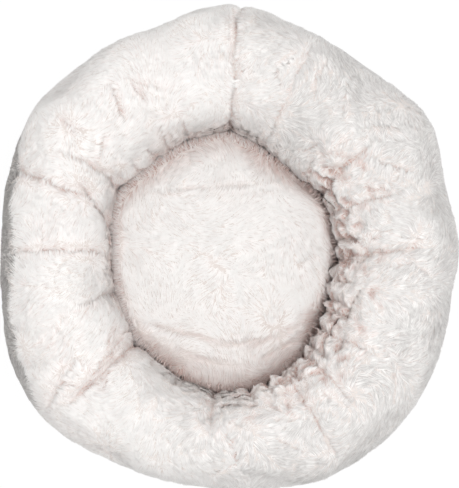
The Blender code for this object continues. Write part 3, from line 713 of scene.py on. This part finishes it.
def makeLock():
    pickNothing()
    bpy.ops.mesh.primitive_cone_add(vertices=3, radius1=0.6, radius2=0, depth=1,
                                    end_fill_type="NGON", location=(0, 0, 0.5))
    return takeShape()


def unit(rows):
    return rows / np.maximum(np.linalg.norm(rows, axis=1, keepdims=True), 1e-12)


def turned(ways, normals, degrees):
    angle = np.radians(degrees)[:, None]
    return ways * np.cos(angle) + np.cross(normals, ways) * np.sin(angle)


def nearestOf(points, chosen):
    tree = KDTree(len(chosen))
    for k, i in enumerate(chosen):
        tree.insert(points[i], k)
    tree.balance()
    return np.array([chosen[tree.find(point)[1]] for point in points])


def napWays(points, normals, comb):
    s = furSettings
    swirl = np.cross(normals, slopeOfWaves(swirlWaves, points))
    drift = slopeOfWaves(driftWaves, points)
    way = s["swirl"] * swirl + s["drift"] * drift + comb
    return unit(way - normals * (way * normals).sum(1, keepdims=True))


# How far each place lies over the skin, and the skin's way up there.
def heightsOver(places, points, normals):
    every = lockSettings["readEvery"]
    tree = KDTree(len(points) // every + 1)
    for i in range(0, len(points), every):
        tree.insert(points[i], i)
    tree.balance()
    found = np.array([tree.find(place)[1] for place in places])
    up = normals[found]
    return ((places - points[found]) * up).sum(1), up


# Root and tip of each lock. Ruffled fur, 0 to 1, turns, lifts and clumps more. Some short locks
# lie any way under the others.
def layLocks(points, normals, comb, draws, longestMm, ruffle, liftMm):
    s = lockSettings
    count = len(points)
    ways = napWays(points, normals, comb)
    chosen = draws.choice(count, count // s["tuftLocks"], replace=False)
    tuft = nearestOf(points, chosen)
    turn, tipMm, spreadMm, pull = (low + (high - low) * ruffle for low, high in (
        s["tuftTurn"], s["tipMm"], s["tipSpreadMm"], s["tuftPull"]))
    tuftTurn = draws.normal(0, 1, count)
    tuftSize = draws.uniform(*s["tuftSizes"], count)
    tuftLift = draws.normal(0, 1, count)
    tuftWay = turned(ways, normals, turn * tuftTurn)[tuft]
    own = turned(ways, normals, draws.normal(0, s["ownTurn"], count))
    wild = draws.uniform(0, 1, count) < s["wildShare"]
    way = own * (1 - s["tuftWeight"]) + tuftWay * s["tuftWeight"]
    way = unit(way - normals * (way * normals).sum(1, keepdims=True))
    way = np.where(wild[:, None], turned(ways, normals, draws.uniform(-180, 180, count)), way)
    length = s["lengthMm"] * tuftSize[tuft] * draws.uniform(*s["ownSizes"], count)
    length = np.where(wild, s["wildMm"], length)
    length = np.minimum(length, longestMm)[:, None] * mm
    tip = points + length * way
    gap = np.linalg.norm(tip[tuft] - tip, axis=1, keepdims=True)
    pull = np.where(wild, 0, pull)[:, None] * (gap < s["pullLengths"] * length)
    tip = tip + (tip[tuft] - tip) * pull
    over, up = heightsOver(tip, points, normals)
    wanted = np.maximum(tipMm + spreadMm * tuftLift[tuft], s["lowestTipMm"]) + liftMm
    wanted = np.where(wild, s["wildTipMm"], wanted) \
        * np.minimum(1, length[:, 0] / (s["liftedMm"] * mm))
    tip = tip + up * (wanted * mm - over)[:, None]
    root = points - normals * s["rootMm"] * mm
    return root, tip


# Most strands are plain, and a few are warm, less than zero, or grey, at random. Callers ask for
# more of them where shade is painted.
def drawStrands(more, draws):
    s = lockSettings
    pick = draws.uniform(0, 1, len(more))
    depth = draws.uniform(*s["strandDepths"], len(more))
    return depth * (s["greyTone"] * (pick > 1 - s["greyShare"] * more)
                    - s["warmTone"] * (pick < s["warmShare"] * more))


# The locks of one zone as one piece. Its UV map says the tone across and root to tip upward.
def growFur(name, root, tip, normals, tone, draws, template):
    s = lockSettings
    shape, faces = template
    count = len(root)
    ahead = unit(tip - root)
    side = unit(np.cross(normals, ahead))
    up = np.cross(ahead, side)
    width = s["widthMm"] * mm * draws.uniform(*s["widths"], count)
    spine = root[:, None] + (tip - root)[:, None] * shape[:, 2][None, :, None]
    across = side[:, None] * (shape[:, 0][None, :, None] * width[:, None, None])
    rise = up[:, None] * (shape[:, 1][None, :, None] * width[:, None, None] * s["thick"])
    corners = (spine + across + rise).reshape(-1, 3)
    loops = np.concatenate([np.array(face) for face in faces])
    sizes = np.array([len(face) for face in faces])
    starts = np.concatenate(([0], np.cumsum(sizes)[:-1]))
    steps = np.arange(count)[:, None]
    mesh = bpy.data.meshes.new(name)
    mesh.vertices.add(len(corners))
    mesh.vertices.foreach_set("co", corners.astype(np.float32).ravel())
    mesh.loops.add(count * len(loops))
    mesh.loops.foreach_set("vertex_index", (loops[None] + steps * len(shape)).ravel())
    mesh.polygons.add(count * len(faces))
    mesh.polygons.foreach_set("loop_start", (starts[None] + steps * len(loops)).ravel())
    mesh.update(calc_edges=True)
    uv = mesh.uv_layers.new(name="OFBake")
    u = tone[:, None] + 0.006 * shape[loops, 0][None]
    v = np.broadcast_to(np.clip(shape[loops, 2] + 0.01 * shape[loops, 1], 0.01, 0.99), u.shape)
    uv.data.foreach_set("uv", np.stack((np.clip(u, 0.01, 0.99), v), -1).astype(np.float32).ravel())
    mesh.materials.append(pile)
    mesh.shade_smooth()
    flat = shape[:, :2] / np.maximum(np.linalg.norm(shape[:, :2], axis=1, keepdims=True), 0.1)
    own = side[:, None] * flat[:, 0][None, :, None] + up[:, None] * flat[:, 1][None, :, None]
    plain = s["plainNormal"]
    lean = unit((normals[:, None] * plain + own * (1 - plain)).reshape(-1, 3))
    lean = lean.reshape(count, len(shape), 3)[:, loops]
    under = unit(-ahead * s["underAhead"] - up * (1 - s["underAhead"]))
    below = np.repeat([shape[face, 1].mean() < s["underShare"] for face in faces], sizes)
    lean[:, below] = under[:, None]
    mesh.normals_split_custom_set(lean.reshape(-1, 3))
    piece = placePiece(name, mesh)
    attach(piece, "bed")


# Evenly spread places, kept in proportion to the area that each stands for.
def spreadSpots(count, placeOf, draws):
    step = 0.0008
    # Powers of the plastic number fill a square evenly.
    k = np.arange(count * 2)
    a = (0.5 + k * 0.7548776662466927) % 1
    b = (0.5 + k * 0.5698402909980532) % 1
    rough = 20000
    point = placeOf(a[:rough], b[:rough])
    wide = placeOf(a[:rough] + step, b[:rough]) - point
    high = placeOf(a[:rough], b[:rough] + step) - point
    area = np.linalg.norm(np.cross(wide, high), axis=1)
    rows = 120
    row = np.minimum((b[:rough] * rows).astype(int), rows - 1)
    share = np.bincount(row, area, rows) / np.maximum(np.bincount(row, minlength=rows), 1)
    share = np.interp(b, (np.arange(rows) + 0.5) / rows, share)
    keep = draws.uniform(0, 1, len(k)) < share * count / share.sum()
    a, b = a[keep], b[keep]
    point = placeOf(a, b)
    normal = np.cross(placeOf(a + step, b) - point, placeOf(a, b + step) - point)
    return a, b, point, unit(normal)


# How far a place is on the right side, and how ruffled its fur is, both 0 to 1.
def readRuffle(point, degrees):
    s = furSettings
    right = smoothStep(*s["rightTurns"], angleFrom(degrees, s["rightMiddle"]))
    plain, more, patches = s["ruffle"]
    return right, np.clip(plain + more * right + patches * readWaves(ruffleWaves, point), 0, 1)


# A strand's place on the pile's colours: plain in the middle, warm below it and grey above.
def readTone(shade, patch):
    return np.clip(0.5 + 0.5 * shade + 0.01 * patch, 0.02, 0.98)


def coverBolster(template):
    s = furSettings
    draws = np.random.default_rng(s["seed"])

    def placeOf(across, up):
        return bolsterPoint(360 * across, stationAt(up), skinSettings["insetMm"] * mm)

    across, up, point, normal = spreadSpots(s["bolsterLocks"], placeOf, draws)
    degrees = 360 * across
    station = stationAt(up)
    parting, away, hollow = readFurrows(degrees, station)[1:]
    crumple = readCrumple(degrees, station)
    right, ruffle = readRuffle(point, degrees)
    smooth = s["smoothShare"]
    ruffle = ruffle * (smooth + (1 - smooth) * smoothStep(*s["smoothStations"], station))
    outward = unit(point * (1, 1, 0))
    slope = s["combSlope"]
    down = np.where(station[:, None] < s["outwardFrom"], (0, 0, -1.0), outward * slope)
    down = np.where(station[:, None] > s["inwardFrom"], (0, 0, -slope), down)
    round_ = np.cross((0.0, 0.0, 1.0), outward)
    near = np.clip(np.abs(away) / s["closeMm"], 0, 1)
    closing = round_ * (-np.sign(away) * parting * near)[:, None]
    longest = np.where(parting > s["partedFrom"],
                       lockSettings["shortestMm"] + s["longerBy"] * np.abs(away), 99)
    longest = np.where(crumple > s["curledFrom"], np.minimum(longest, s["curlMm"]), longest)
    comb = np.interp(station, s["combStations"], (s["combDown"], s["combOut"]))[:, None] * down
    root, tip = layLocks(point, normal, comb + s["closing"] * closing,
                         draws, longest, ruffle, 0)
    tip[:, 2] = np.maximum(tip[:, 2], s["lowestMm"] * mm)
    patch = readWaves(toneWaves, point)
    line = parting * np.exp(-(away / s["lineMm"]) ** 2)
    # The left side's painted shade: the station up to which it reaches, and how grey each lock is.
    edge = np.interp(degrees, s["leftShadeAngles"], s["leftShadeStations"], left=-60, right=-60) \
        + s["leftShadeWander"] * patch + draws.normal(0, s["leftShadeSpread"], len(point))
    outer, inner = s["leftShadeFade"]
    leftShade = smoothStep(edge + outer, edge + inner, station) \
        * draws.uniform(*s["leftShadeDepths"], len(point))
    # More strands are warm or grey where the fur is ruffled or parted, partly as painted shade, and
    # as painted shade in the hollows, on the right side and on the left side.
    more = 1 + 2 * ruffle * (1 + right) + 1.5 * leftShade + 3 * hollow + 3 * parting
    strand = drawStrands(more, draws)
    # Warm: partly pinkish roots where the fur parts and partly painted shade in the parting lines;
    # painted shade in the hollows between curls, in crumpled fur, on the right side and on the
    # inner wall towards the crevice.
    warmRootsAndShade = line + 0.8 * hollow + 0.3 * crumple + 0.4 * parting + 0.1 * right * ruffle \
        + s["nestShadeWarm"] * smoothStep(*s["nestStations"], station)
    # Grey: painted shade on the left and right sides, and a greyer pile low on the outer side.
    grey = np.interp(degrees, s["leftShadeAngles"], s["leftShadeTones"]) * leftShade \
        + s["rightShadeTone"] * right * (0.6 + 0.4 * ruffle) \
        + s["lowGrey"] * smoothStep(*s["lowStations"], station)
    tone = readTone(grey - warmRootsAndShade + strand, patch)
    for name, _, start in skinSettings["panels"]:
        inPanel = (degrees >= start) & (degrees < start + 90)
        for zone, low, high in s["zones"]:
            mine = inPanel & (station >= low) & (station < high)
            growFur(name + zone + "Pile", root[mine], tip[mine], normal[mine], tone[mine],
                    draws, template)
            print(name + zone + "Pile", int(mine.sum()), "locks")


def coverPad(template):
    s = furSettings
    draws = np.random.default_rng(s["seed"] + 1)

    def placeOf(across, share):
        return padPoint(360 * across, share, padSettings["insetMm"] * mm)

    across, _, point, normal = spreadSpots(s["padLocks"], placeOf, draws)
    normal = normal * np.sign(normal[:, 2:3])
    degrees = 360 * across
    comb = np.broadcast_to(s["padComb"], point.shape)
    parting = readPadCreases(point[:, 0], point[:, 1])[1]
    plain, patches = s["padRuffle"]
    ruffle = np.clip(plain + patches * readWaves(ruffleWaves, point), 0, 1)
    nest = planRadii(degrees, np.full(len(degrees), 180.0))[1]
    inside = (nest - np.hypot(point[:, 0], point[:, 1])) / mm
    margin = smoothStep(1, 0, inside / np.interp(degrees, s["marginAngles"], s["marginWidths"]))
    brimShare = np.interp(degrees, s["brimAngles"], s["brimShares"])
    # How near the pad's edge and its crevice a place is, for the painted shade there.
    depth = smoothStep(s["edgeMm"], 1, inside)
    least = s["edgeShare"]
    edge = depth * brimShare * (least + (1 - least) * smoothStep(*s["edgeTurns"], degrees))
    ruffle = np.clip(ruffle + s["marginRuffle"] * margin, 0, 1)
    longest = s["padLongestMm"] * (1 - s["padPartedShare"] * parting)
    root, tip = layLocks(point, normal, comb, draws, longest, ruffle, s["marginLiftMm"] * margin)
    brim = (inside < s["brimMm"]) & (inside > -s["brimMm"] / 2) \
        & (draws.uniform(0, 1, len(point)) < brimShare)
    lean = unit(point * (1, 1, 0)) + draws.normal(0, s["brimSpread"], point.shape) \
        + (0, 0, 1.0) * draws.uniform(*s["brimRises"], len(point))[:, None]
    reach = draws.uniform(*s["brimReaches"], len(point))[:, None] * s["brimReachMm"] * mm
    tip = np.where(brim[:, None], point + reach * unit(lean), tip)
    normal = np.where(brim[:, None], unit(s["brimNormal"] * normal + (0, 0, 1.0)), normal)
    patch = readWaves(toneWaves, point)
    # Painted shade at the margin and by the crevice: more and darker strands and a warmer tone.
    # Along the creases the parted fur shows pinkish roots, partly painted shade.
    strand = drawStrands(0.35 + 2 * margin + 2 * edge, draws) * (1 + 1.4 * edge)
    warmRootsAndShade = 0.8 * parting + s["marginShadeTone"] * margin + s["edgeShadeTone"] * depth * (1 - brimShare)
    growFur("padPile", root, tip, normal, readTone(strand - warmRootsAndShade, patch), draws, template)
    print("padPile", len(point), "locks")


lockTemplate = makeLock()
coverBolster(lockTemplate)
coverPad(lockTemplate)
print("fur made")


# Copies of one small shape as one piece: a place and three axes for each.
def addCopies(name, shape, places, axes, material):
    points, faces = shape
    corners = np.einsum("pk,ckj->cpj", points, axes) + places[:, None]
    starts = np.arange(len(places)) * len(points)
    rows = [[corner + start for corner in face] for start in starts for face in faces]
    mesh = bpy.data.meshes.new(name)
    mesh.from_pydata(corners.reshape(-1, 3), [], rows)
    mesh.materials.append(material)
    mesh.shade_smooth()
    piece = placePiece(name, mesh)
    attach(piece, "bed")
    return piece


# Zip coil: turns of wire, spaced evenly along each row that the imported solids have

coilSettings = {"pitchMm": 1.3, "wireMm": 0.54, "lean": 14, "majorSegments": 8,
                "minorSegments": 4, "endTurn": 0.2}


def makeCoil(name, node):
    s = coilSettings
    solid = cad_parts[node]
    points = np.array([v.co[:] for v in solid.data.vertices])
    reach = np.hypot(points[:, 0], points[:, 1])
    angle = (np.degrees(np.arctan2(points[:, 1], points[:, 0])) + 90) % 360 - 90
    radius = (reach.min() + reach.max()) / 2
    low, high = points[:, 2].min(), points[:, 2].max()
    wire = s["wireMm"] * mm / 2
    pickNothing()
    bpy.ops.mesh.primitive_torus_add(major_radius=(high - low) / 2 - wire, minor_radius=wire,
                                     major_segments=s["majorSegments"],
                                     minor_segments=s["minorSegments"])
    turn = takeShape()
    length = np.radians(angle.max() - angle.min()) * radius
    at = np.radians(np.linspace(angle.min() + s["endTurn"], angle.max() - s["endTurn"],
                                int(length / (s["pitchMm"] * mm))))
    outward = np.stack((np.cos(at), np.sin(at), 0 * at), -1)
    along = np.stack((-np.sin(at), np.cos(at), 0 * at), -1)
    lean = math.radians(s["lean"])
    up = np.broadcast_to((0.0, 0.0, 1.0), along.shape)
    axes = np.stack((up, outward * math.cos(lean) - along * math.sin(lean),
                     along * math.cos(lean) + outward * math.sin(lean)), 1)
    coil = addCopies(name, turn, radius * outward + up * (low + high) / 2, axes, nylon)
    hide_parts(node)


makeCoil("zipCoilInner", "zip_coil_inner")
makeCoil("zipCoilOuter", "zip_coil_outer")
print("zip coils made")


# Grip dots moulded on the underside

dotSettings = {"pitchMm": 11, "radiusMm": 1.3, "heightMm": 0.3, "sides": 7, "reach": 0.236}


def makeGripDots():
    s = dotSettings
    pickNothing()
    bpy.ops.mesh.primitive_cylinder_add(vertices=s["sides"], radius=s["radiusMm"] * mm,
                                        depth=s["heightMm"] * mm)
    dot = takeShape()
    count = int(s["reach"] / (s["pitchMm"] * mm)) + 2
    step = np.arange(-count, count + 1)
    column, row = np.meshgrid(step, step)
    x = (column + row % 2 / 2) * s["pitchMm"] * mm
    y = row * math.sqrt(0.75) * s["pitchMm"] * mm
    inside = np.hypot(x, y) < s["reach"]
    places = np.stack((x[inside], y[inside], 0 * x[inside] - s["heightMm"] * mm / 4), -1)
    axes = np.broadcast_to(np.eye(3), (len(places), 3, 3))
    dots = addCopies("gripDots", dot, places, axes, rubber)


makeGripDots()
print("grip dots made")


# Carried-over solids get their finishes
carried = (
    ("bolster_liner_lower", lining), ("pad_liner_top", lining), ("pad_liner_bottom", lining),
    ("pad_fill", fibre), ("gather_elastic", elasticCord), ("base_fabric", baseCloth),
    ("care_label", satinRibbon), ("zip_tape_inner", tapeCloth), ("zip_tape_outer", tapeCloth),
    ("zip_top_stop_inner", nickel), ("zip_top_stop_outer", nickel), ("zip_bottom_stop", nickel),
    ("zip_slider", nickel), ("zip_pull", nickel),
)
for node, material in carried:
    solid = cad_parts[node]
    for place in solid.material_slots:
        place.material = material
print("solids finished")


# Floor, light and camera

stageSettings = {
    "floorSize": 8, "floorDrop": 0.0004, "floorColour": "C9C9C9", "cameraWhite": 0.9,
    "whiteStrength": 1.06,
    "worldStrength": 0.805, "keyPlace": (0.28, -0.22, 1.9), "keySize": 0.8, "keyPower": 13.8,
    "lens": 85, "elevation": 85, "frameHeight": 0.6198, "target": (0.0003, 0, 0.087),
}


def makeStage():
    s = stageSettings
    pickNothing()
    bpy.ops.mesh.primitive_plane_add(size=s["floorSize"], location=(0, 0, -s["floorDrop"]))
    floor = bpy.context.object
    floor.name = "floor"
    material, tree, shader = newMaterial("paintedStudioFloor", {
        "Base Color": linearColour(s["floorColour"]), "Roughness": 0.9})
    light = addNode(tree, "LightPath")
    seen = light.outputs["Is Camera Ray"]
    for ray in ("Is Glossy Ray", "Is Transmission Ray"):
        seen = addNode(tree, "Math", {"operation": "MAXIMUM"},
                       {0: seen, 1: light.outputs[ray]}).outputs[0]
    part = addNode(tree, "Math", {"operation": "MULTIPLY", 1: s["cameraWhite"]}, {0: seen})
    white = addNode(tree, "Emission", {"Strength": s["whiteStrength"]})
    mixed = addNode(tree, "MixShader", links={0: part.outputs[0], 1: shader.outputs[0],
                                              2: white.outputs[0]})
    tree.links.new(mixed.outputs[0], tree.nodes["Material Output"].inputs["Surface"])
    floor.data.materials.append(material)

    world = bpy.data.worlds.new("studio")
    bpy.context.scene.world = world
    world.use_nodes = True
    tree = world.node_tree
    plain = tree.nodes["Background"]
    plain.inputs["Color"].default_value = (1, 1, 1, 1)
    light = addNode(tree, "LightPath")
    level = addNode(tree, "MapRange", {"To Min": s["worldStrength"], "To Max": 1.0},
                    {0: light.outputs["Is Camera Ray"]})
    tree.links.new(level.outputs[0], plain.inputs["Strength"])

    pickNothing()
    bpy.ops.object.light_add(type="AREA", location=s["keyPlace"])
    key = bpy.context.object
    key.name = "keyLight"
    key.data.shape = "DISK"
    key.data.size = s["keySize"]
    key.data.energy = s["keyPower"]
    aim = Vector(s["target"]) - Vector(s["keyPlace"])
    key.rotation_euler = aim.to_track_quat("-Z", "Y").to_euler()

    data = bpy.data.cameras.new("camera")
    data.lens = s["lens"]
    camera = placePiece("camera", data)
    distance = s["frameHeight"] * s["lens"] / data.sensor_width
    rise = math.radians(s["elevation"])
    away = Vector((0, -math.cos(rise), math.sin(rise))) * distance
    camera.location = Vector(s["target"]) + away
    camera.rotation_euler = (math.pi / 2 - rise, 0, 0)
    bpy.context.scene.camera = camera
    bpy.context.scene.view_settings.view_transform = "Standard"


makeStage()
print("stage made")
